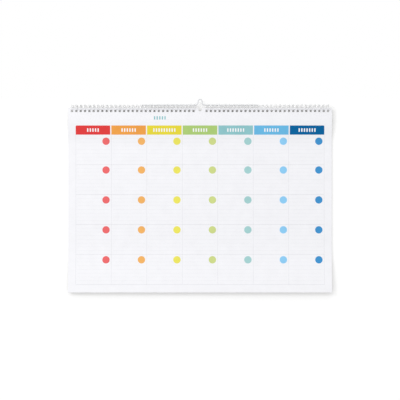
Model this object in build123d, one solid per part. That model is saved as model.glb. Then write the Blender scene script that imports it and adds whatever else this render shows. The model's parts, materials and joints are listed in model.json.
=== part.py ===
from build123d import *
import math
import os

# A landscape wall calendar: month sheets and a backing card bound with
# twin-loop wire, hanging from a wire hanger.
# Millimetres. X runs to the reader's right, Y into the wall and Z up.
# The origin is the nail's seat, under the top of the hanger's loop.

# Sheets and card
sheet_width = 515.0
sheet_height = 360.0
page_block = 1.6
card_thickness = 0.8
notch_width = 7.0
notch_depth = 6.5

# Punched holes, three to the inch, in two runs with places left out between
pitch = 25.4 / 3
loops_per_comb = 29
places_left_out = 2
hole_side = 4.2
hole_to_edge = 3.8

# Twin-loop wire: each loop is two legs that go round a ring of eight sides
loop_outside = 12.7
loop_width = 3.2
binding_wire = 1.0
ring_sides = 8
seam_tip = 2.2
seam_gap = 0.7
turning_room = 0.05

# Hanger
hanger_wire = 2.0
hanger_span = 224.0
loop_height = 11.2
loop_top_half = 3.2
loop_foot_half = 5.4
loop_bend = 3.7
foot_bend = 4.0
loop_facets = 8
seat_room = 0.05

# Print
ink = 0.08
column_count = 7
column_pitch = 69.2
bar_gap = 2.8
bar_height = 17.0
bar_below_edge = 34.6
bar_corner = 2.0
row_count = 5
row_pitch = 58.5
dot_diameter = 14.4
dot_sides = 18
dot_from_column_end = 10.4
first_dot_drop = 13.6
dot_drop = 10.5
ink_names = ["red", "orange", "yellow", "green", "teal", "sky_blue", "dark_blue"]

# The binding's axis is the centre of the rings. The hanger's arms lie
# against the rings' inner tops, and the nail's seat is under the loop.
ring_outer = loop_outside / 2
ring_inner = ring_outer - binding_wire
arm_above_axis = ring_inner - hanger_wire / 2 - seat_room
arm_z = -(loop_height - hanger_wire / 2)
axis_z = arm_z - arm_above_axis

# Sheets and card together are centred under the axis, sheets in front.
sheets_front = -(page_block + card_thickness) / 2
sheets_back = sheets_front + page_block
card_back = sheets_back + card_thickness

# A sheet's hole keeps its upper side inside the ring at every turn of the
# sheets. The card doesn't turn, so it sits right down on the wire.
hole_top_radius = math.sqrt((ring_inner - turning_room) ** 2 - sheets_front ** 2)
hole_z = axis_z - hole_top_radius - hole_side / 2
sheet_top = axis_z - hole_top_radius + hole_to_edge
card_drop = ring_inner - hole_top_radius


def loop_places(side):
    """X of each loop of one comb: side is -1 for the left, 1 for the right."""
    first = (places_left_out + 1) / 2 * pitch
    return [side * (first + i * pitch) for i in range(loops_per_comb)]


def extrude_y(sketch, y_from, y_to):
    """A sketch drawn in X and Z, filled from one Y to another."""
    face = Plane(origin=(0, y_to, 0), x_dir=(1, 0, 0), z_dir=(0, -1, 0)) * sketch
    return extrude(face, amount=y_to - y_from)


# Sheets and card

def sheet_outline():
    """The sheet with its square holes and the round-bottomed hanger notch."""
    places = loop_places(-1) + loop_places(1)
    outline = Pos(0, sheet_top - sheet_height / 2) * Rectangle(sheet_width, sheet_height)
    holes = [Pos(x, hole_z) * Rectangle(hole_side, hole_side) for x in places]
    round_end = sheet_top - notch_depth + notch_width / 2
    notch = [
        Pos(0, round_end) * Circle(notch_width / 2),
        Pos(0, (round_end + sheet_top) / 2) * Rectangle(notch_width, sheet_top - round_end),
    ]
    return outline - holes - notch


# Binding wire

def ring_point(radius, corner):
    """A corner of the ring, counted from the bottom towards the back, in Y and Z."""
    turn = (corner + 0.5) * 2 * math.pi / ring_sides
    reach = radius / math.cos(math.pi / ring_sides)
    return (reach * math.sin(turn), axis_z - reach * math.cos(turn))


def along_side(radius, corner, run):
    """A point on the side that follows a corner, a run away from that corner."""
    a = ring_point(radius, corner)
    b = ring_point(radius, corner + 1)
    part = run / math.dist(a, b)
    return (a[0] + (b[0] - a[0]) * part, a[1] + (b[1] - a[1]) * part)


def stretched(points, x_from, x_to):
    """An outline in Y and Z, filled from one X to another."""
    plane = Plane(origin=(x_from, 0, 0), x_dir=(0, 1, 0), z_dir=(1, 0, 0))
    face = make_face(Polyline(*points, close=True))
    return extrude(plane * face, amount=x_to - x_from)


def comb(side):
    """One run of twin loops: legs, tips through the holes and links behind."""
    places = loop_places(side)
    outer_start = ring_outer * math.tan(math.pi / ring_sides) - ring_inner * math.tan(math.pi / ring_sides)
    # The ring starts behind its lowest back corner and ends at the tip.
    outer = [along_side(ring_outer, 0, seam_gap + outer_start)]
    outer += [ring_point(ring_outer, c) for c in range(1, ring_sides)]
    outer += [(seam_tip, axis_z - ring_outer)]
    inner = [along_side(ring_inner, 0, seam_gap)]
    inner += [ring_point(ring_inner, c) for c in range(1, ring_sides)]
    inner += [(seam_tip, axis_z - ring_inner)]
    leg = outer + inner[::-1]
    tip = [
        (seam_tip - binding_wire, axis_z - ring_outer),
        (seam_tip, axis_z - ring_outer),
        (seam_tip, axis_z - ring_inner),
        (seam_tip - binding_wire, axis_z - ring_inner),
    ]
    link = [
        outer[0],
        along_side(ring_outer, 0, seam_gap + outer_start + binding_wire),
        along_side(ring_inner, 0, seam_gap + binding_wire),
        inner[0],
    ]
    half = loop_width / 2
    solids = []
    for x in places:
        solids.append(stretched(leg, x - half, x - half + binding_wire))
        solids.append(stretched(leg, x + half - binding_wire, x + half))
        solids.append(stretched(tip, x - half + binding_wire, x + half - binding_wire))
    places.sort()
    for left, right in zip(places, places[1:]):
        solids.append(stretched(link, left + half, right - half))
    return solids[0].fuse(*solids[1:]).clean()


# Hanger

def hanger():
    """One bent wire: two round level arms and a loop between them for the nail."""
    foot = loop_foot_half + foot_bend
    top = arm_z + loop_height
    path = FilletPolyline(
        (-foot, 0, arm_z),
        (-loop_foot_half, 0, arm_z),
        (-loop_top_half, 0, top),
        (loop_top_half, 0, top),
        (loop_foot_half, 0, arm_z),
        (foot, 0, arm_z),
        radius=[foot_bend, loop_bend, loop_bend, foot_bend],
    )
    start = Plane(origin=path @ 0, z_dir=path % 0)
    section = start * RegularPolygon(hanger_wire / 2, loop_facets)
    loop = sweep(section, path=path)
    length = hanger_span / 2 - foot
    arms = [
        Pos(side * (foot + length / 2), 0, arm_z) * Rot(0, 90, 0) * Cylinder(hanger_wire / 2, length)
        for side in (-1, 1)
    ]
    return loop.fuse(*arms)


# Print

def column_middle(column):
    """X of the middle of a weekday's column."""
    return (column - (column_count - 1) / 2) * column_pitch


def weekday_print(column):
    """A weekday's header bar and the day dots in the column under it."""
    middle = column_middle(column)
    width = column_pitch - bar_gap
    bar_z = sheet_top - bar_below_edge - bar_height / 2
    bar = Pos(middle, bar_z) * Rectangle(width, bar_height)
    if column == 0:
        bar = fillet(bar.vertices().group_by(Axis.Y)[-1].sort_by(Axis.X)[0], bar_corner)
    if column == column_count - 1:
        bar = fillet(bar.vertices().group_by(Axis.Y)[-1].sort_by(Axis.X)[-1], bar_corner)
    dot_x = middle + column_pitch / 2 - dot_from_column_end
    body_top = sheet_top - bar_below_edge - bar_height
    drops = [first_dot_drop] + [dot_drop] * (row_count - 1)
    dots = [Pos(dot_x, body_top - row * row_pitch - drops[row]) * RegularPolygon(dot_diameter / 2, dot_sides)
            for row in range(row_count)]
    fields = [extrude_y(shape, sheets_front - ink, sheets_front) for shape in [bar] + dots]
    return Compound(children=fields)


parts = {
    "hanger": hanger(),
    "binding_wire_left": comb(-1),
    "binding_wire_right": comb(1),
    "backing_card": Pos(0, 0, -card_drop) * extrude_y(sheet_outline(), sheets_back, card_back),
    "month_sheets": extrude_y(sheet_outline(), sheets_front, sheets_back),
}
for column, name in enumerate(ink_names):
    parts["print_" + name] = weekday_print(column)

os.makedirs("parts", exist_ok=True)
for name, shape in parts.items():
    export_step(shape, "parts/" + name + ".step")
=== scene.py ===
import json
import math

import bmesh
import bpy
from bpy.props import FloatProperty, FloatVectorProperty, IntProperty, PointerProperty
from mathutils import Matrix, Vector
from mathutils.geometry import delaunay_2d_cdt


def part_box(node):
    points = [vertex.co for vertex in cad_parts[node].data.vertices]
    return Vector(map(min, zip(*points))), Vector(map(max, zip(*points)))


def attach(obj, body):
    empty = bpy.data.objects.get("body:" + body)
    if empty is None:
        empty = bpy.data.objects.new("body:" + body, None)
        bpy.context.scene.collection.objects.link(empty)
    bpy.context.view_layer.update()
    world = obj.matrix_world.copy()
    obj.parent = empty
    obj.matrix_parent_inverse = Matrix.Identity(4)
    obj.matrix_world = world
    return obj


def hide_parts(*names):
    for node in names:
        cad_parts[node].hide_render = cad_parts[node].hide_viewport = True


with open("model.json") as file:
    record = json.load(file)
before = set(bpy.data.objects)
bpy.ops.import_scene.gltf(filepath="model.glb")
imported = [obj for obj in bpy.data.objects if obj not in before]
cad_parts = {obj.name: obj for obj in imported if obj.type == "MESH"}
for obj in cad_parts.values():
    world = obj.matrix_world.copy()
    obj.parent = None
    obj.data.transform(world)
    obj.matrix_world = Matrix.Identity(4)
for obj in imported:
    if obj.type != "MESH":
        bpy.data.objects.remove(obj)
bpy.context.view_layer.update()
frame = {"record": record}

# A wall calendar as it hangs: smooth twin-loop wire and hanger, twelve loose
# leaves, their printed front and a grey backing board. Metres, X to the
# reader's right, Y into the wall, Z up, with the nail's seat at the origin.

bl_info = {
    "name": "Wall calendar",
    "version": (1, 0, 0),
    "blender": (4, 5, 0),
    "location": "3D View > Sidebar > Calendar",
    "description": "Makes the wire, leaves, print and board of a twin-loop bound wall calendar",
    "category": "Object",
}

mm = 0.001

# Places that the frame gives
sheets_low, sheets_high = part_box("month_sheets")
card_low, card_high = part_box("backing_card")
comb_low, comb_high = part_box("binding_wire_right")
hanger_low, hanger_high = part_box("hanger")
sheet_top = sheets_high.z
sheet_height = sheets_high.z - sheets_low.z
axis_height = (comb_low.z + comb_high.z) / 2
ring_outside = comb_high.z - comb_low.z
camera_height = -195.5 * mm

# Edges that bend more than this stay sharp, and more on the thin binding wire
sharp_edge = math.radians(35)
sharp_wire_edge = math.radians(60)

# Straight facets round a notch, a bar's corner and a dot
notch_facets = 16
corner_facets = 8
dot_facets = 64

# How a sheet is cut into triangles: inside its outlines, and when points are one
inside_outlines = 1
same_point = 1e-7

# How far below the foot the sheets' curl would be full
curl_runs_on = 25 * mm

# From a column's side to its writing lines
line_margin = 2.5 * mm

# Marks in each weekday's heading and in the month label
heading_marks = (5, 6, 9, 6, 7, 6, 7)
label_marks = 5

# Where the light comes from: the way that the key shines, and the side lamp
key_direction = (0.58, 1.0, -0.80)
side_place = (-1.3, -1.3, 0.6)
side_width = 0.5

# How open a place on the wall is where its added white begins and is full. Where it fades, it paints
# shade in the holes and behind the sheets
glow_fades = (0.14, 0.30)

# The colours that the record gives
slot_colours = {slot["slot"]: tuple(slot["base_color"]) for slot in frame["record"]["materials"]}

# The day dots are printed in a lighter tone of each weekday's colour
dot_tones = {
    "red": (0.83, 0.150, 0.155),
    "orange": (0.88, 0.450, 0.135),
    "yellow": (0.84, 0.780, 0.125),
    "green": (0.61, 0.690, 0.260),
    "teal": (0.370, 0.630, 0.630),
    "sky_blue": (0.270, 0.600, 0.890),
    "dark_blue": (0.058, 0.290, 0.610),
}
inks = list(dot_tones)


def length(name, description, default):
    """A size in metres that a user can change."""
    return FloatProperty(
        name=name, description=description, default=default, unit="LENGTH", precision=5)


def plain_number(name, description, default):
    """A plain number that a user can change."""
    return FloatProperty(name=name, description=description, default=default)


def whole_number(name, description, default):
    """A whole number that a user can change."""
    return IntProperty(name=name, description=description, default=default)


def angle(name, description, default):
    """A turn, given in degrees."""
    turn = math.radians(default)
    return FloatProperty(name=name, description=description, default=turn, unit="ROTATION")


def colour(name, description, default):
    """A surface colour, as linear values."""
    return FloatVectorProperty(
        name=name, description=description, default=default, subtype="COLOR", size=3)


class BindingSizes(bpy.types.PropertyGroup):
    wire: length("Wire", "Thickness of the binding wire", 0.95 * mm)
    sides: whole_number("Sides", "Faces round the wire", 10)
    loops: whole_number("Loops", "Loops in one comb", 29)
    pitch: length("Pitch", "From one loop to the next", 25.4 / 3 * mm)
    first_loop: length("First loop", "From the calendar's middle to a comb's first loop", 12.7 * mm)
    leg_gap: length("Leg gap", "Between the legs of a loop, at its base", 2.6 * mm)
    tip_gap: length("Tip gap", "Between the legs of a loop, at its tip", 2.3 * mm)
    bend: length("Bend", "Radius of the small bends in the wire", 1.1 * mm)
    step: length("Step", "Length of one straight facet along the wire", 0.5 * mm)
    base_turn: angle("Base", "Where the comb's back lies, from the bottom of the ring", 34)
    tip_turn: angle("Tip", "How far the tips reach past the bottom of the ring", 17.5)
    coating: colour("Coating", "Colour of the binding wire", (0.88, 0.885, 0.895))


class HangerSizes(bpy.types.PropertyGroup):
    wire: length("Wire", "Thickness of the hanger's wire", 2.0 * mm)
    sides: whole_number("Sides", "Faces round the wire", 16)
    step: length("Step", "Length of one straight facet along the wire", 0.6 * mm)
    top_half: length("Loop top", "Half the width of the loop at its top", 3.2 * mm)
    foot_half: length("Loop foot", "Half the width of the loop at its foot", 5.4 * mm)
    loop_bend: length("Loop bend", "Radius of the bends at the loop's top", 3.7 * mm)
    foot_bend: length("Foot bend", "Radius of the bends from the loop to the arms", 4.0 * mm)
    coating: colour("Coating", "Colour of the hanger", (0.66, 0.67, 0.69))


class PaperSizes(bpy.types.PropertyGroup):
    leaves: whole_number("Leaves", "Month leaves", 12)
    leaf: length("Leaf", "Thickness of one leaf", 0.115 * mm)
    hole: length("Hole", "Side of a square hole", 4.2 * mm)
    hole_edge: length("Hole to edge", "From the sheet's top edge to the holes", 3.8 * mm)
    notch_width: length("Notch width", "Width of the hanger notch", 7.0 * mm)
    notch_depth: length("Notch depth", "Depth of the hanger notch", 6.5 * mm)
    cut_short: plain_number("Cut", "How much shorter a leaf may be cut, as a share", 0.0007)
    mesh_column: length("Column", "Width of one mesh column", 20 * mm)
    flat_top: length("Flat top", "Height of the flat strip at the binding", 20 * mm)
    belly_start: length("Belly start", "Where the belly is full, from the top edge", 74 * mm)
    belly: length("Belly", "How far the sheets lie back towards the wall", 4.9 * mm)
    curl_start: length("Curl start", "Where the foot starts to curl, from the top edge", 262 * mm)
    curl: length("Curl", "How far the foot curls forward from the binding's plane", 1.6 * mm)
    fan: length("Fan", "Added gap between leaves at the foot", 0.05 * mm)
    paper: colour("Paper", "Colour of the leaves", (0.882, 0.882, 0.912))
    board: colour("Board", "Colour of the backing board", (0.50, 0.47, 0.42))


class PrintSizes(bpy.types.PropertyGroup):
    ink: length("Ink", "Thickness of the ink fields", 0.06 * mm)
    fine_ink: length("Fine ink", "Thickness of lines and small marks", 0.03 * mm)
    column_pitch: length("Column", "Width of a weekday's column", 69.35 * mm)
    bar_pitch: length("Bar pitch", "From one header bar to the next", 69.7 * mm)
    bar_gap: length("Bar gap", "Between two header bars", 2.3 * mm)
    bar_height: length("Bar height", "Height of the header bars", 17.8 * mm)
    bar_drop: length("Bar drop", "From the sheet's top edge to the bars", 34.15 * mm)
    bar_corner: length("Bar corner", "Radius at the outer corners of the first and last bar", 2.0 * mm)
    row_pitch: length("Row", "Height of a week's row", 58.5 * mm)
    rows: whole_number("Rows", "Weeks on the sheet", 5)
    dot: length("Dot", "Width of a day's dot", 14.4 * mm)
    dot_inset: length("Dot inset", "From a dot's middle to its column's right edge", 10.4 * mm)
    first_dot_drop: length("First dot drop", "From the bars to the first dot", 12.8 * mm)
    dot_drop: length("Dot drop", "From a row's top line to its dot", 10.5 * mm)
    row_line: length("Row line", "Width of the lines round the days", 0.22 * mm)
    writing_line: length("Writing line", "Width of the writing lines", 0.07 * mm)
    lines_per_row: whole_number("Writing lines", "Writing spaces in a day", 8)
    stroke_width: length("Stroke width", "Width of a mark in a heading", 2.5 * mm)
    stroke_height: length("Stroke height", "Height of a mark in a heading", 6.6 * mm)
    stroke_pitch: length("Stroke pitch", "From one mark to the next", 5.1 * mm)
    label_from_middle: length("Label place", "From the sheet's middle to the month label", -78.4 * mm)
    label_drop: length("Label drop", "From the top edge to the month label's middle", 19.4 * mm)
    line_grey: colour("Line grey", "Colour of the ruled lines", (0.50, 0.51, 0.56))
    white: colour("White", "Colour of the marks in the bars", (0.94, 0.94, 0.96))


class StageSizes(bpy.types.PropertyGroup):
    wall_gap: length("Wall gap", "From the rings to the wall", 0.1 * mm)
    wall_width: length("Wall width", "Width of the wall", 1000 * mm)
    wall_height: length("Wall height", "Height of the wall", 620 * mm)
    wall_drop: length("Wall drop", "From the top of the hanger to the top of the wall", 1 * mm)
    frame_width: length("Frame width", "Width that the camera sees at the front sheet", 780.5 * mm)
    wall_white: plain_number("Wall", "Share of light that the wall gives back", 0.74)
    wall_glow: plain_number("Wall glow", "Added white that the camera and reflections see", 0.285)
    glow_reach: length("Glow reach", "How near a piece must be to dim the added white", 20 * mm)
    ambient: plain_number("Ambient", "Strength of the even light", 0.865)
    from_left: plain_number("From the left", "How far the even light leans to the left", 0.26)
    from_above: plain_number("From above", "How far the even light leans upwards", 0.32)
    key: plain_number("Key", "Strength of the key light", 0.36)
    side: plain_number("Side", "Power of the lamp on the left", 6.0)
    key_angle: angle("Key angle", "Apparent size of the key light", 55)


# Mesh helpers

def link_piece(name, mesh):
    """Puts a finished mesh in the scene as an object at the origin."""
    piece = bpy.data.objects.new(name, mesh)
    bpy.context.scene.collection.objects.link(piece)
    return piece


def finish_mesh(bm, name, sharp=sharp_edge):
    """A mesh with its faces outward, smooth but for its sharp edges."""
    bmesh.ops.recalc_face_normals(bm, faces=bm.faces)
    for face in bm.faces:
        face.smooth = True
    for edge in bm.edges:
        edge.smooth = len(edge.link_faces) == 2 and edge.calc_face_angle(0) < sharp
    mesh = bpy.data.meshes.new(name)
    bm.to_mesh(mesh)
    bm.free()
    return mesh


def thicken(bm, back):
    """Turns flat faces into closed solids that reach a distance back in Y."""
    moved = bmesh.ops.extrude_face_region(bm, geom=bm.faces[:], use_keep_orig=True)["geom"]
    points = [item for item in moved if isinstance(item, bmesh.types.BMVert)]
    bmesh.ops.translate(bm, vec=(0, back, 0), verts=points)


def cut_at_creases(bm):
    """Cuts flat faces where the hanging sheets bend."""
    low = min(vertex.co.z for vertex in bm.verts)
    high = max(vertex.co.z for vertex in bm.verts)
    for height in crease_heights():
        if low < height < high:
            everything = bm.verts[:] + bm.edges[:] + bm.faces[:]
            bmesh.ops.bisect_plane(bm, geom=everything, plane_co=(0, 0, height), plane_no=(0, 0, 1))


def add_outline(bm, points, depth):
    """One flat face at a depth in Y, from points in X and Z."""
    return bm.faces.new([bm.verts.new((x, depth, z)) for x, z in points])


def rectangle(left, bottom, right, top):
    """The corners of a rectangle."""
    return [(left, bottom), (right, bottom), (right, top), (left, top)]


def arc(middle, radius, start, turn, steps):
    """Points along a stretch of a circle, with its angles in degrees."""
    angles = [math.radians(start + turn * i / steps) for i in range(steps + 1)]
    return [(middle[0] + radius * math.cos(a), middle[1] + radius * math.sin(a)) for a in angles]


# The hang of the sheets

def ease(value, start, end):
    """0 before start, 1 after end, smooth between."""
    part = min(1.0, max(0.0, (value - start) / (end - start)))
    return part * part * (3 - 2 * part)


def crease_heights():
    """Heights at which the sheets' mesh bends, from the top down."""
    paper = bpy.context.scene.calendar_paper
    fine, coarse = 3 * mm, 15 * mm
    drops = []
    for start, end, step in (
        (paper.flat_top, paper.belly_start, fine),
        (paper.belly_start, paper.curl_start, coarse),
        (paper.curl_start, sheet_height, fine),
    ):
        count = round((end - start) / step)
        drops += [start + (end - start) * i / count for i in range(count)]
    return [sheet_top - drop for drop in drops]


def lie_back(height):
    """How far the sheets lie back from the binding's plane at a height."""
    paper = bpy.context.scene.calendar_paper
    drop = sheet_top - height
    belly = paper.belly * ease(drop, paper.flat_top, paper.belly_start)
    forward = ease(drop, paper.curl_start, sheet_height + curl_runs_on)
    return belly - (paper.belly + paper.curl) * forward


def fanned(height):
    """The added gap between two leaves at a height."""
    paper = bpy.context.scene.calendar_paper
    return paper.fan * ease(sheet_top - height, paper.curl_start, sheet_height)


def between_creases(rule, height, heights):
    """A rule of the height, straight from one crease to the next."""
    if height >= heights[0]:
        return rule(heights[0])
    for upper, lower in zip(heights, heights[1:]):
        if height >= lower:
            part = (upper - height) / (upper - lower)
            return rule(upper) * (1 - part) + rule(lower) * part
    return rule(height)


def let_hang(mesh, leaf=0):
    """Bends a flat mesh as the sheets hang.

    A leaf's number, counted from the back, is stored on its points or given here.
    """
    heights = crease_heights()
    numbers = mesh.attributes.get("leaf")
    for i, vertex in enumerate(mesh.vertices):
        number = numbers.data[i].value if numbers else leaf
        back = between_creases(lie_back, vertex.co.z, heights)
        vertex.co.y += back - number * between_creases(fanned, vertex.co.z, heights)


# Node helpers

def add_node(tree, kind, inputs=None, **settings):
    """Adds a node; an input is a value or another node's output."""
    node = tree.nodes.new(kind)
    for key, value in settings.items():
        setattr(node, key, value)
    for key, value in (inputs or {}).items():
        if isinstance(value, bpy.types.NodeSocket):
            tree.links.new(value, node.inputs[key])
        else:
            node.inputs[key].default_value = value
    return node


def maths(tree, operation, first, second=0.0):
    """The output of a Math node."""
    return add_node(tree, "ShaderNodeMath", {0: first, 1: second}, operation=operation).outputs[0]


def geometry_tree(name, sockets):
    """A geometry node group with named inputs; returns it and its input sockets."""
    tree = bpy.data.node_groups.new(name, "GeometryNodeTree")
    tree.interface.new_socket("Geometry", in_out="INPUT", socket_type="NodeSocketGeometry")
    for label, kind in sockets:
        tree.interface.new_socket(label, in_out="INPUT", socket_type="NodeSocket" + kind)
    tree.interface.new_socket("Geometry", in_out="OUTPUT", socket_type="NodeSocketGeometry")
    return tree, tree.nodes.new("NodeGroupInput").outputs


def end_tree(tree, geometry, material):
    """Ends a geometry node group in a material and its output."""
    painted = add_node(tree, "GeometryNodeSetMaterial", {"Geometry": geometry, "Material": material})
    add_node(tree, "NodeGroupOutput", {0: painted.outputs[0]})


def add_tree(piece, tree, values):
    """Puts a node group on a piece, with its inputs set by identifier."""
    modifier = piece.modifiers.new(tree.name, "NODES")
    modifier.node_group = tree
    for item in tree.interface.items_tree:
        if item.item_type == "SOCKET" and item.in_out == "INPUT" and item.name in values:
            modifier[item.identifier] = values[item.name]


def plain_mesh(piece, name):
    """The mesh that a piece's modifiers make; the piece itself is removed."""
    bpy.context.view_layer.update()
    graph = bpy.context.evaluated_depsgraph_get()
    made = bpy.data.meshes.new_from_object(piece.evaluated_get(graph), depsgraph=graph)
    bpy.data.objects.remove(piece)
    if len(made.polygons) == 0:
        raise RuntimeError(name + " came out empty")
    made.name = name
    return made


# Materials

def new_material(name, base, roughness, metallic=0.0):
    """A material with its shader, and the Object coordinates for its patterns."""
    material = bpy.data.materials.new(name)
    material.use_nodes = True
    tree = material.node_tree
    shader = tree.nodes["Principled BSDF"]
    shader.inputs["Base Color"].default_value = (*base, 1)
    shader.inputs["Roughness"].default_value = roughness
    shader.inputs["Metallic"].default_value = metallic
    place = add_node(tree, "ShaderNodeTexCoord").outputs["Object"]
    return material, tree, shader, place


def noise(tree, place, scale, detail=3.0, stretch=(1, 1, 1)):
    """Noise of a scale in features a metre, stretched along the axes."""
    mapped = add_node(tree, "ShaderNodeMapping", {"Vector": place, "Scale": stretch})
    inputs = {"Vector": mapped.outputs[0], "Scale": scale, "Detail": detail, "Roughness": 0.55}
    return add_node(tree, "ShaderNodeTexNoise", inputs).outputs["Fac"]


def spread(tree, value, low, high, start=0.3, end=0.7):
    """A noise value spread from low to high."""
    inputs = {"Value": value, "From Min": start, "From Max": end, "To Min": low, "To Max": high}
    return add_node(tree, "ShaderNodeMapRange", inputs).outputs["Result"]


def tint(tree, base, amount):
    """A colour made lighter or darker by an amount round 1."""
    mixed = add_node(tree, "ShaderNodeVectorMath", {0: base, "Scale": amount}, operation="SCALE")
    return mixed.outputs[0]


def raise_surface(tree, shader, height, distance, strength):
    """Gives a shader fine relief."""
    inputs = {"Height": height, "Distance": distance, "Strength": strength}
    bump = add_node(tree, "ShaderNodeBump", inputs)
    tree.links.new(bump.outputs[0], shader.inputs["Normal"])


def paper_material(name, base, roughness=0.86, density=0.02, gloss_level=0.35):
    """Uncoated paper: cloudy formation, fine fibres and a soft tooth."""
    material, tree, shader, place = new_material(name, base, roughness)
    cloud = spread(tree, noise(tree, place, 55, 4), 1 - density, 1 + density / 2)
    threads = noise(tree, place, 900, 5, (1, 1, 2.6))
    fibre = spread(tree, threads, 1 - density * 0.8, 1 + density * 0.4)
    amount = maths(tree, "MULTIPLY", cloud, fibre)
    tree.links.new(tint(tree, base, amount), shader.inputs["Base Color"])
    gloss = spread(tree, noise(tree, place, 420, 3), roughness - 0.07, roughness + 0.06)
    tree.links.new(gloss, shader.inputs["Roughness"])
    tooth = noise(tree, place, 2600, 4, (1, 1, 1.6))
    raise_surface(tree, shader, tooth, 0.03 * mm, 0.35)
    shader.inputs["Specular IOR Level"].default_value = gloss_level
    return material


def ink_material(name, base):
    """Offset ink that has sunk into paper: slight mottle and the paper's tooth."""
    return paper_material(name, base, roughness=0.72, density=0.045, gloss_level=0.02)


def board_material(name, base):
    """Grey chipboard: warm grey pulp with dark and pale flecks."""
    material, tree, shader, place = new_material(name, base, 0.92)
    pulp = spread(tree, noise(tree, place, 160, 6), 0.86, 1.12)
    dark = spread(tree, noise(tree, place, 1500, 2, (1, 1, 2.2)), 1.0, 0.62, start=0.62, end=0.74)
    pale = spread(tree, noise(tree, place, 1100, 2, (2.0, 1, 1)), 1.0, 1.35, start=0.64, end=0.76)
    amount = maths(tree, "MULTIPLY", maths(tree, "MULTIPLY", pulp, dark), pale)
    tree.links.new(tint(tree, base, amount), shader.inputs["Base Color"])
    raise_surface(tree, shader, noise(tree, place, 1300, 5), 0.06 * mm, 0.5)
    return material


def wire_material(name, base, metallic, roughness):
    """Coated steel wire: drawn along its length, with small dull patches."""
    material, tree, shader, place = new_material(name, base, roughness, metallic)
    patch = noise(tree, place, 260, 3)
    tree.links.new(tint(tree, base, spread(tree, patch, 0.95, 1.03)), shader.inputs["Base Color"])
    dull = spread(tree, noise(tree, place, 700, 3), roughness - 0.05, roughness + 0.07)
    tree.links.new(dull, shader.inputs["Roughness"])
    raise_surface(tree, shader, noise(tree, place, 2400, 2, (0.35, 1, 1)), 0.006 * mm, 0.08)
    shader.inputs["Coat Weight"].default_value = 0.35
    shader.inputs["Coat Roughness"].default_value = 0.22
    return material


# Node groups

def comb_tree():
    """A flat zigzag wire, repeated along the comb and then rolled into rings."""
    tree, given = geometry_tree("twin_loop_comb", [
        ("Wire", "Float"), ("Sides", "Int"), ("Bend", "Float"), ("Step", "Float"),
        ("Loops", "Int"), ("Pitch", "Float"), ("First Loop", "Float"),
        ("Ring Radius", "Float"), ("Axis Height", "Float"), ("Material", "Material"),
    ])
    path = add_node(tree, "GeometryNodeMeshToCurve", {"Mesh": given["Geometry"]})
    bent = add_node(tree, "GeometryNodeFilletCurve", {
        "Curve": path.outputs[0], "Count": 8, "Radius": given["Bend"],
        "Limit Radius": True}, mode="POLY")
    even = add_node(tree, "GeometryNodeResampleCurve", {
        "Curve": bent.outputs[0], "Length": given["Step"]}, mode="LENGTH")
    level = add_node(tree, "GeometryNodeSetCurveNormal", {"Curve": even.outputs[0]}, mode="Z_UP")
    section = add_node(tree, "GeometryNodeCurvePrimitiveCircle", {
        "Resolution": given["Sides"], "Radius": maths(tree, "MULTIPLY", given["Wire"], 0.5)})
    wire = add_node(tree, "GeometryNodeCurveToMesh", {
        "Curve": level.outputs[0], "Profile Curve": section.outputs[0]})
    first = add_node(tree, "ShaderNodeCombineXYZ", {"X": given["First Loop"]})
    apart = add_node(tree, "ShaderNodeCombineXYZ", {"X": given["Pitch"]})
    places = add_node(tree, "GeometryNodeMeshLine", {
        "Count": given["Loops"], "Start Location": first.outputs[0], "Offset": apart.outputs[0]})
    loops = add_node(tree, "GeometryNodeInstanceOnPoints", {
        "Points": places.outputs[0], "Instance": wire.outputs[0]})
    real = add_node(tree, "GeometryNodeRealizeInstances", {"Geometry": loops.outputs[0]})
    joined = add_node(tree, "GeometryNodeMergeByDistance", {
        "Geometry": real.outputs[0], "Distance": 0.01 * mm})
    place = add_node(tree, "GeometryNodeInputPosition").outputs[0]
    flat = add_node(tree, "ShaderNodeSeparateXYZ", {0: place})
    turn = maths(tree, "DIVIDE", flat.outputs["Y"], given["Ring Radius"])
    reach = maths(tree, "ADD", flat.outputs["Z"], given["Ring Radius"])
    depth = maths(tree, "MULTIPLY", reach, maths(tree, "SINE", turn))
    drop = maths(tree, "MULTIPLY", reach, maths(tree, "COSINE", turn))
    rolled = add_node(tree, "ShaderNodeCombineXYZ", {
        "X": flat.outputs["X"], "Y": depth, "Z": maths(tree, "SUBTRACT", given["Axis Height"], drop)})
    rings = add_node(tree, "GeometryNodeSetPosition", {
        "Geometry": joined.outputs[0], "Position": rolled.outputs[0]})
    end_tree(tree, rings.outputs[0], given["Material"])
    return tree


def bent_wire_tree():
    """A round wire along a path whose corners each have their own bend."""
    tree, given = geometry_tree("bent_wire", [
        ("Wire", "Float"), ("Sides", "Int"), ("Step", "Float"), ("Material", "Material")])
    path = add_node(tree, "GeometryNodeMeshToCurve", {"Mesh": given["Geometry"]})
    bend = add_node(tree, "GeometryNodeInputNamedAttribute", {"Name": "bend"}, data_type="FLOAT")
    bent = add_node(tree, "GeometryNodeFilletCurve", {
        "Curve": path.outputs[0], "Count": 12, "Radius": bend.outputs[0]}, mode="POLY")
    even = add_node(tree, "GeometryNodeResampleCurve", {
        "Curve": bent.outputs[0], "Length": given["Step"]}, mode="LENGTH")
    section = add_node(tree, "GeometryNodeCurvePrimitiveCircle", {
        "Resolution": given["Sides"], "Radius": maths(tree, "MULTIPLY", given["Wire"], 0.5)})
    wire = add_node(tree, "GeometryNodeCurveToMesh", {
        "Curve": even.outputs[0], "Profile Curve": section.outputs[0], "Fill Caps": True})
    real = add_node(tree, "GeometryNodeRealizeInstances", {"Geometry": wire.outputs[0]})
    end_tree(tree, real.outputs[0], given["Material"])
    return tree


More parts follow.
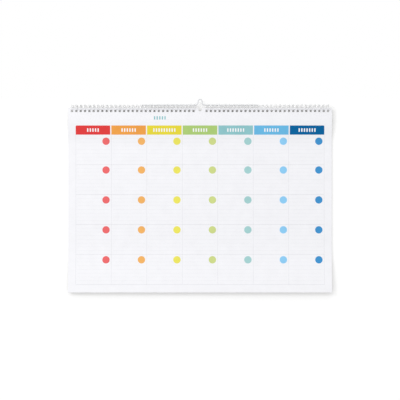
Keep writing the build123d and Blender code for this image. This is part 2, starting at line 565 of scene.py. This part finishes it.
def repeat_tree(name):
    """A shape repeated by even steps."""
    tree, given = geometry_tree(name, [
        ("Count", "Int"), ("Start", "Vector"), ("Step", "Vector"), ("Material", "Material")])
    places = add_node(tree, "GeometryNodeMeshLine", {
        "Count": given["Count"], "Start Location": given["Start"], "Offset": given["Step"]})
    copies = add_node(tree, "GeometryNodeInstanceOnPoints", {
        "Points": places.outputs[0], "Instance": given["Geometry"]})
    real = add_node(tree, "GeometryNodeRealizeInstances", {"Geometry": copies.outputs[0]})
    end_tree(tree, real.outputs[0], given["Material"])
    return tree


def leaf_tree():
    """A leaf stacked from the back to the front, each cut a little short."""
    tree, given = geometry_tree("leaf_stack", [
        ("Leaves", "Int"), ("Start", "Vector"), ("Step", "Vector"),
        ("Cut Short", "Float"), ("Seed", "Int"), ("Material", "Material")])
    places = add_node(tree, "GeometryNodeMeshLine", {
        "Count": given["Leaves"], "Start Location": given["Start"], "Offset": given["Step"]})
    number = add_node(tree, "GeometryNodeInputIndex").outputs[0]
    last = maths(tree, "SUBTRACT", given["Leaves"], 1.0)
    behind = maths(tree, "SUBTRACT", 1.0, maths(tree, "DIVIDE", number, last))
    chance = add_node(tree, "FunctionNodeRandomValue", {
        "ID": number, "Seed": given["Seed"]}, data_type="FLOAT")
    most = maths(tree, "MULTIPLY", behind, given["Cut Short"])
    left = maths(tree, "SUBTRACT", 1.0, maths(tree, "MULTIPLY", chance.outputs[1], most))
    size = add_node(tree, "ShaderNodeCombineXYZ", {"X": 1.0, "Y": 1.0, "Z": left})
    leaves = add_node(tree, "GeometryNodeInstanceOnPoints", {
        "Points": places.outputs[0], "Instance": given["Geometry"], "Scale": size.outputs[0]})
    counted = add_node(tree, "GeometryNodeStoreNamedAttribute", {
        "Geometry": leaves.outputs[0], "Name": "leaf", "Value": number,
    }, data_type="FLOAT", domain="INSTANCE")
    real = add_node(tree, "GeometryNodeRealizeInstances", {"Geometry": counted.outputs[0]})
    end_tree(tree, real.outputs[0], given["Material"])
    return tree


# Pieces

def in_a_row(points):
    """Edges that join points one after the other."""
    return [(i, i + 1) for i in range(len(points) - 1)]


class CALENDAR_OT_binding(bpy.types.Operator):
    """Makes the two runs of twin-loop binding wire"""
    bl_idname = "calendar.binding"
    bl_label = "Binding wire"

    def execute(self, context):
        sizes = context.scene.calendar_binding
        radius = (ring_outside - sizes.wire) / 2
        base = radius * sizes.base_turn
        tip = radius * (math.tau + sizes.tip_turn)
        leg, end = sizes.leg_gap / 2, sizes.tip_gap / 2
        half = [(sizes.pitch / 2, base), (leg, base), (end, tip)]
        points = [(-x, run) for x, run in half] + half[::-1]
        material = wire_material("binding_wire_coating", sizes.coating, metallic=0.60, roughness=0.24)
        tree = comb_tree()
        last_loop = sizes.first_loop + (sizes.loops - 1) * sizes.pitch
        for side, first in (("left", -last_loop), ("right", sizes.first_loop)):
            name = "twin_loop_wire_" + side
            path = bpy.data.meshes.new(name + "_path")
            path.from_pydata([(x, run, 0) for x, run in points], in_a_row(points), [])
            piece = link_piece(name + "_path", path)
            add_tree(piece, tree, {
                "Wire": sizes.wire, "Sides": sizes.sides, "Bend": sizes.bend, "Step": sizes.step,
                "Loops": sizes.loops, "Pitch": sizes.pitch, "First Loop": first,
                "Ring Radius": radius, "Axis Height": axis_height, "Material": material})
            rings = plain_mesh(piece, name)
            bm = bmesh.new()
            bm.from_mesh(rings)
            bmesh.ops.holes_fill(bm, edges=[edge for edge in bm.edges if edge.is_boundary])
            closed = finish_mesh(bm, name, sharp_wire_edge)
            closed.materials.append(material)
            comb = link_piece(name, closed)
            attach(comb, "back")
            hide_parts("binding_wire_" + side)
        return {"FINISHED"}


class CALENDAR_OT_hanger(bpy.types.Operator):
    """Makes the wire hanger"""
    bl_idname = "calendar.hanger"
    bl_label = "Hanger"

    def execute(self, context):
        sizes = context.scene.calendar_hanger
        arm = hanger_low.z + sizes.wire / 2
        top = hanger_high.z - sizes.wire / 2
        half = [
            (hanger_high.x, arm, 0),
            (sizes.foot_half, arm, sizes.foot_bend),
            (sizes.top_half, top, sizes.loop_bend),
        ]
        corners = [(-x, z, bend) for x, z, bend in half] + half[::-1]
        path = bpy.data.meshes.new("wire_hanger_path")
        path.from_pydata([(x, 0, z) for x, z, bend in corners], in_a_row(corners), [])
        bends = path.attributes.new("bend", "FLOAT", "POINT")
        bends.data.foreach_set("value", [bend for x, z, bend in corners])
        piece = link_piece("wire_hanger_path", path)
        material = wire_material("hanger_coating", sizes.coating, metallic=0.35, roughness=0.32)
        add_tree(piece, bent_wire_tree(), {
            "Wire": sizes.wire, "Sides": sizes.sides, "Step": sizes.step, "Material": material})
        bm = bmesh.new()
        bm.from_mesh(plain_mesh(piece, "wire_hanger"))
        mesh = finish_mesh(bm, "wire_hanger")
        mesh.materials.append(material)
        hanger = link_piece("wire_hanger", mesh)
        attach(hanger, "hanger")
        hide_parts("hanger")
        return {"FINISHED"}


def is_inside(point, loop):
    """Whether a point lies inside a closed loop, by counting crossings."""
    crossings = 0
    for (x, y), (next_x, next_y) in zip(loop, loop[1:] + loop[:1]):
        if (y > point.y) != (next_y > point.y):
            crossings += point.x < x + (next_x - x) * (point.y - y) / (next_y - y)
    return crossings % 2 == 1


def sheet_mesh(name, low, high, thickness):
    """A sheet in the plane Y = 0, its top edge at Z = 0, with its holes and notch."""
    paper = bpy.context.scene.calendar_paper
    binding = bpy.context.scene.calendar_binding
    height = high.z - low.z
    radius = paper.notch_width / 2
    middle = (0, radius - paper.notch_depth)
    outline = [(low.x, 0), (low.x, -height), (high.x, -height), (high.x, 0), (radius, 0)]
    outline += arc(middle, radius, 0, -180, notch_facets) + [(-radius, 0)]
    loops = [outline]
    half, hole_top = paper.hole / 2, -paper.hole_edge
    for side in (-1, 1):
        for i in range(binding.loops):
            x = side * (binding.first_loop + i * binding.pitch)
            loops.append(rectangle(x - half, hole_top - paper.hole, x + half, hole_top))
    points, edges = [], []
    for loop in loops:
        first = len(points)
        points += loop
        edges += [(first + i, first + (i + 1) % len(loop)) for i in range(len(loop))]
    columns = round((high.x - low.x) / paper.mesh_column)
    across = [low.x + (high.x - low.x) * i / columns for i in range(columns + 1)]
    drops = [sheet_top - crease for crease in crease_heights()]
    points += [(x, -drop) for drop in drops for x in across]
    points += [(x, -height) for x in across[1:-1]]
    flat_points = [Vector(point) for point in points]
    made = delaunay_2d_cdt(flat_points, edges, [], inside_outlines, same_point)
    bm = bmesh.new()
    corners = [bm.verts.new((point.x, 0, point.y)) for point in made[0]]
    for triangle in made[2]:
        middle = sum((made[0][i] for i in triangle), Vector((0, 0))) / 3
        if middle.y < -paper.flat_top or sum(is_inside(middle, loop) for loop in loops) == 1:
            bm.faces.new([corners[i] for i in triangle])
    bmesh.ops.join_triangles(
        bm, faces=bm.faces[:], angle_face_threshold=0.1, angle_shape_threshold=0.5)
    thicken(bm, thickness)
    return finish_mesh(bm, name)


class CALENDAR_OT_leaves(bpy.types.Operator):
    """Makes the month leaves, one behind the other"""
    bl_idname = "calendar.leaves"
    bl_label = "Month leaves"

    def execute(self, context):
        sizes = context.scene.calendar_paper
        material = paper_material("leaf_paper", sizes.paper)
        flat = sheet_mesh("month_leaf", sheets_low, sheets_high, sizes.leaf)
        piece = link_piece("month_leaf", flat)
        front = sheets_low.y
        step = (sheets_high.y - sheets_low.y) / sizes.leaves
        add_tree(piece, leaf_tree(), {
            "Leaves": sizes.leaves, "Start": (0, front + step * (sizes.leaves - 1), sheet_top),
            "Step": (0, -step, 0), "Cut Short": sizes.cut_short, "Seed": 7, "Material": material})
        mesh = plain_mesh(piece, "month_leaves")
        let_hang(mesh)
        leaves = link_piece("month_leaves", mesh)
        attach(leaves, "sheets")
        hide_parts("month_sheets")
        return {"FINISHED"}


class CALENDAR_OT_board(bpy.types.Operator):
    """Makes the backing board"""
    bl_idname = "calendar.board"
    bl_label = "Backing board"

    def execute(self, context):
        sizes = context.scene.calendar_paper
        mesh = sheet_mesh("grey_board", card_low, card_high, card_high.y - card_low.y)
        for vertex in mesh.vertices:
            vertex.co += Vector((0, card_low.y, card_high.z))
        let_hang(mesh)
        mesh.materials.append(board_material("grey_board", sizes.board))
        board = link_piece("grey_board", mesh)
        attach(board, "back")
        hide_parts("backing_card")
        return {"FINISHED"}


def print_piece(name, bm, material, thickness, stand_off=0.0):
    """Lays flat outlines on the front leaf as thin fields of ink."""
    leaves = bpy.context.scene.calendar_paper.leaves
    cut_at_creases(bm)
    thicken(bm, -thickness)
    bmesh.ops.translate(bm, vec=(0, sheets_low.y - stand_off, 0), verts=bm.verts)
    mesh = finish_mesh(bm, name)
    let_hang(mesh, leaves - 1)
    mesh.materials.append(material)
    piece = link_piece(name, mesh)
    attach(piece, "sheets")
    return piece


def column_middle(column, pitch):
    """X of the middle of a weekday's column."""
    return (column - (len(inks) - 1) / 2) * pitch


class CALENDAR_OT_weekdays(bpy.types.Operator):
    """Prints each weekday's header bar and day dots in its colour"""
    bl_idname = "calendar.weekdays"
    bl_label = "Weekday colours"

    def execute(self, context):
        sizes = context.scene.calendar_print
        half = (sizes.bar_pitch - sizes.bar_gap) / 2
        top = sheet_top - sizes.bar_drop
        bottom = top - sizes.bar_height
        corner = sizes.bar_corner
        for column, ink in enumerate(inks):
            middle = column_middle(column, sizes.bar_pitch)
            left, right = middle - half, middle + half
            bar = rectangle(left, bottom, right, top)
            if column == 0:
                bar[3:] = arc((left + corner, top - corner), corner, 90, 90, corner_facets)
            if column == len(inks) - 1:
                bar[2:3] = arc((right - corner, top - corner), corner, 0, 90, corner_facets)
            bm = bmesh.new()
            add_outline(bm, bar, 0)
            dot_x = column_middle(column + 0.5, sizes.column_pitch) - sizes.dot_inset
            for row in range(sizes.rows):
                drop = sizes.first_dot_drop if row == 0 else sizes.dot_drop
                dot_z = bottom - row * sizes.row_pitch - drop
                dot = arc((dot_x, dot_z), sizes.dot / 2, 0, 360, dot_facets)
                add_outline(bm, dot[:-1], 0).material_index = 1
            solid = ink_material("bar_" + ink, slot_colours["ink_" + ink])
            piece = print_piece("ink_" + ink, bm, solid, sizes.ink)
            piece.data.materials.append(ink_material("dot_" + ink, dot_tones[ink]))
            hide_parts("print_" + ink)
        return {"FINISHED"}


class CALENDAR_OT_lines(bpy.types.Operator):
    """Rules the pale lines round the days and the writing lines in them"""
    bl_idname = "calendar.lines"
    bl_label = "Ruled lines"

    def execute(self, context):
        sizes = context.scene.calendar_print
        body_top = sheet_top - sizes.bar_drop - sizes.bar_height
        body_bottom = body_top - sizes.row_pitch * sizes.rows
        reach = sizes.column_pitch * len(inks) / 2
        row = sizes.row_pitch
        rule = sizes.row_line / 2
        across = rectangle(-reach, -rule, reach, rule)
        down = rectangle(-rule, body_bottom, rule, body_top)
        rules = [
            (across, sizes.rows, (0, 0, body_top - row), (0, 0, -row)),
            (down, len(inks) + 1, (-reach, 0, 0), (sizes.column_pitch, 0, 0)),
        ]
        writing = row / sizes.lines_per_row
        spaces = sizes.rows * sizes.lines_per_row
        fine = sizes.writing_line / 2
        half = sizes.column_pitch / 2 - line_margin
        for column in range(len(inks)):
            middle = column_middle(column, sizes.column_pitch)
            line = rectangle(middle - half, -fine, middle + half, fine)
            rules.append((line, spaces - 1, (0, 0, body_top - writing), (0, 0, -writing)))
        material = ink_material("line_grey", sizes.line_grey)
        tree = repeat_tree("repeated_lines")
        bm = bmesh.new()
        for outline, times, start, step in rules:
            values = {"Count": times, "Start": start, "Step": step, "Material": material}
            self.add_rules(bm, outline, tree, values)
        lines = print_piece("ruled_lines", bm, material, sizes.fine_ink)
        return {"FINISHED"}

    def add_rules(self, bm, outline, tree, values):
        """Adds a flat outline, repeated by even steps, to a mesh."""
        flat = bmesh.new()
        add_outline(flat, outline, 0)
        mesh = bpy.data.meshes.new("line")
        flat.to_mesh(mesh)
        flat.free()
        piece = link_piece("line", mesh)
        add_tree(piece, tree, values)
        bm.from_mesh(plain_mesh(piece, "lines"))


class CALENDAR_OT_headings(bpy.types.Operator):
    """Prints plain upright marks where the headings stand"""
    bl_idname = "calendar.headings"
    bl_label = "Heading marks"

    def execute(self, context):
        sizes = context.scene.calendar_print
        bar_middle = sheet_top - sizes.bar_drop - sizes.bar_height / 2
        bm = bmesh.new()
        for column, marks in enumerate(heading_marks):
            self.add_marks(bm, column_middle(column, sizes.bar_pitch), bar_middle, marks)
        white = ink_material("white_marks", sizes.white)
        weekdays = print_piece("weekday_marks", bm, white, sizes.fine_ink, sizes.ink)
        bm = bmesh.new()
        self.add_marks(bm, sizes.label_from_middle, sheet_top - sizes.label_drop, label_marks)
        teal = ink_material("month_mark", slot_colours["ink_teal"])
        label = print_piece("month_marks", bm, teal, sizes.ink)
        return {"FINISHED"}

    def add_marks(self, bm, middle, height, marks):
        """A row of upright marks round a middle."""
        sizes = bpy.context.scene.calendar_print
        wide, tall = sizes.stroke_width / 2, sizes.stroke_height / 2
        for i in range(marks):
            x = middle + (i - (marks - 1) / 2) * sizes.stroke_pitch
            add_outline(bm, rectangle(x - wide, height - tall, x + wide, height + tall), 0)


# Stage

def only_seen(tree):
    """1 for what camera, glossy and transmission rays see, 0 for light on surfaces."""
    path = add_node(tree, "ShaderNodeLightPath").outputs
    seen = maths(tree, "MAXIMUM", path["Is Camera Ray"], path["Is Glossy Ray"])
    return maths(tree, "MAXIMUM", seen, path["Is Transmission Ray"])


def wall_material(sizes):
    """A white wall that keeps shadows, and isn't there from behind.

    Its added white fades where pieces close it in, as behind the sheets and in the holes, which paints
    shade there. In a view from behind, light passes through it to the calendar's back.
    """
    material = bpy.data.materials.new("white_wall")
    material.use_nodes = True
    tree = material.node_tree
    tree.nodes.clear()
    matt = add_node(tree, "ShaderNodeBsdfDiffuse", {"Color": (*[sizes.wall_white] * 3, 1)})
    # Painted shade: the added white is dimmed by ambient occlusion, so holes and the gap behind the
    # sheets render darker than the lamps alone make them
    around = add_node(tree, "ShaderNodeAmbientOcclusion", {"Distance": sizes.glow_reach}, samples=8)
    added = spread(tree, around.outputs["AO"], 0.0, sizes.wall_glow, *glow_fades)
    white = maths(tree, "MULTIPLY", only_seen(tree), added)
    glow = add_node(tree, "ShaderNodeEmission", {"Strength": white})
    front = add_node(tree, "ShaderNodeAddShader", {0: matt.outputs[0], 1: glow.outputs[0]})
    behind = add_node(tree, "ShaderNodeNewGeometry").outputs["Backfacing"]
    passed = add_node(tree, "ShaderNodeLightPath").outputs["Transparent Depth"]
    open_wall = maths(tree, "MAXIMUM", behind, maths(tree, "GREATER_THAN", passed, 0.5))
    clear = add_node(tree, "ShaderNodeBsdfTransparent")
    both = add_node(tree, "ShaderNodeMixShader", {
        0: open_wall, 1: front.outputs[0], 2: clear.outputs[0]})
    add_node(tree, "ShaderNodeOutputMaterial", {"Surface": both.outputs[0]})
    return material


def white_room(sizes):
    """White where it is seen, with even light that leans to the left and above."""
    world = bpy.data.worlds.new("white_room")
    world.use_nodes = True
    tree = world.node_tree
    tree.nodes.clear()
    place = add_node(tree, "ShaderNodeTexCoord").outputs["Generated"]
    towards = add_node(tree, "ShaderNodeSeparateXYZ", {0: place}).outputs
    left = maths(tree, "MULTIPLY", towards["X"], -sizes.from_left)
    above = maths(tree, "MULTIPLY", towards["Z"], sizes.from_above)
    lean = maths(tree, "ADD", maths(tree, "ADD", left, above), 1.0)
    even = maths(tree, "MULTIPLY", lean, sizes.ambient)
    lit = add_node(tree, "ShaderNodeLightPath").outputs["Is Diffuse Ray"]
    strength = maths(tree, "MAXIMUM", only_seen(tree), maths(tree, "MULTIPLY", lit, even))
    sky = add_node(tree, "ShaderNodeBackground", {"Color": (1, 1, 1, 1), "Strength": strength})
    add_node(tree, "ShaderNodeOutputWorld", {"Surface": sky.outputs[0]})
    return world


def add_lamp(name, kind, energy, place, direction):
    """Adds a lamp at a place that shines in a direction; returns its light."""
    light = bpy.data.lights.new(name, kind)
    light.energy = energy
    lamp = bpy.data.objects.new(name, light)
    lamp.location = place
    lamp.rotation_mode = "QUATERNION"
    lamp.rotation_quaternion = direction.to_track_quat("-Z", "Y")
    bpy.context.scene.collection.objects.link(lamp)
    return light


class CALENDAR_OT_stage(bpy.types.Operator):
    """Sets the wall, the light and the camera"""
    bl_idname = "calendar.stage"
    bl_label = "Stage"

    def execute(self, context):
        sizes = context.scene.calendar_stage
        depth = comb_high.y + sizes.wall_gap
        top = hanger_high.z - sizes.wall_drop
        half = sizes.wall_width / 2
        bm = bmesh.new()
        add_outline(bm, rectangle(-half, top - sizes.wall_height, half, top), depth)
        mesh = bpy.data.meshes.new("wall")
        bm.to_mesh(mesh)
        bm.free()
        mesh.materials.append(wall_material(sizes))
        wall = link_piece("wall", mesh)

        key = add_lamp("key", "SUN", sizes.key, (0, 0, 0), Vector(key_direction))
        key.angle = sizes.key_angle
        towards_calendar = Vector((0, 0, camera_height)) - Vector(side_place)
        side = add_lamp("side", "AREA", sizes.side, side_place, towards_calendar)
        side.shape = "DISK"
        side.size = side_width

        context.scene.world = white_room(sizes)
        context.scene.view_settings.view_transform = "Standard"

        lens = bpy.data.cameras.new("camera")
        lens.lens = 100
        lens.sensor_width = 36
        distance = sizes.frame_width * lens.lens / lens.sensor_width
        camera = bpy.data.objects.new("camera", lens)
        camera.location = (0, sheets_low.y - distance, camera_height)
        camera.rotation_euler = (math.pi / 2, 0, 0)
        context.scene.collection.objects.link(camera)
        context.scene.camera = camera
        return {"FINISHED"}


class CALENDAR_PT_panel(bpy.types.Panel):
    """The calendar's pieces and their sizes"""
    bl_label = "Wall calendar"
    bl_space_type = "VIEW_3D"
    bl_region_type = "UI"
    bl_category = "Calendar"

    def draw(self, context):
        for operator, group in steps:
            box = self.layout.box()
            box.operator(operator.bl_idname)
            if group:
                sizes = getattr(context.scene, group)
                for name in sizes.__annotations__:
                    box.prop(sizes, name)


groups = {
    "calendar_binding": BindingSizes,
    "calendar_hanger": HangerSizes,
    "calendar_paper": PaperSizes,
    "calendar_print": PrintSizes,
    "calendar_stage": StageSizes,
}
steps = (
    (CALENDAR_OT_stage, "calendar_stage"),
    (CALENDAR_OT_binding, "calendar_binding"),
    (CALENDAR_OT_hanger, "calendar_hanger"),
    (CALENDAR_OT_leaves, "calendar_paper"),
    (CALENDAR_OT_board, None),
    (CALENDAR_OT_weekdays, "calendar_print"),
    (CALENDAR_OT_lines, None),
    (CALENDAR_OT_headings, None),
)


def register():
    for name, group in groups.items():
        bpy.utils.register_class(group)
        setattr(bpy.types.Scene, name, PointerProperty(type=group))
    for operator, _ in steps:
        bpy.utils.register_class(operator)
    bpy.utils.register_class(CALENDAR_PT_panel)


def unregister():
    bpy.utils.unregister_class(CALENDAR_PT_panel)
    for operator, _ in reversed(steps):
        bpy.utils.unregister_class(operator)
    for name, group in groups.items():
        delattr(bpy.types.Scene, name)
        bpy.utils.unregister_class(group)


def main():
    """Makes every piece."""
    register()
    for operator, _ in steps:
        getattr(bpy.ops.calendar, operator.bl_idname.split(".")[1])()


if __name__ == "__main__":
    main()
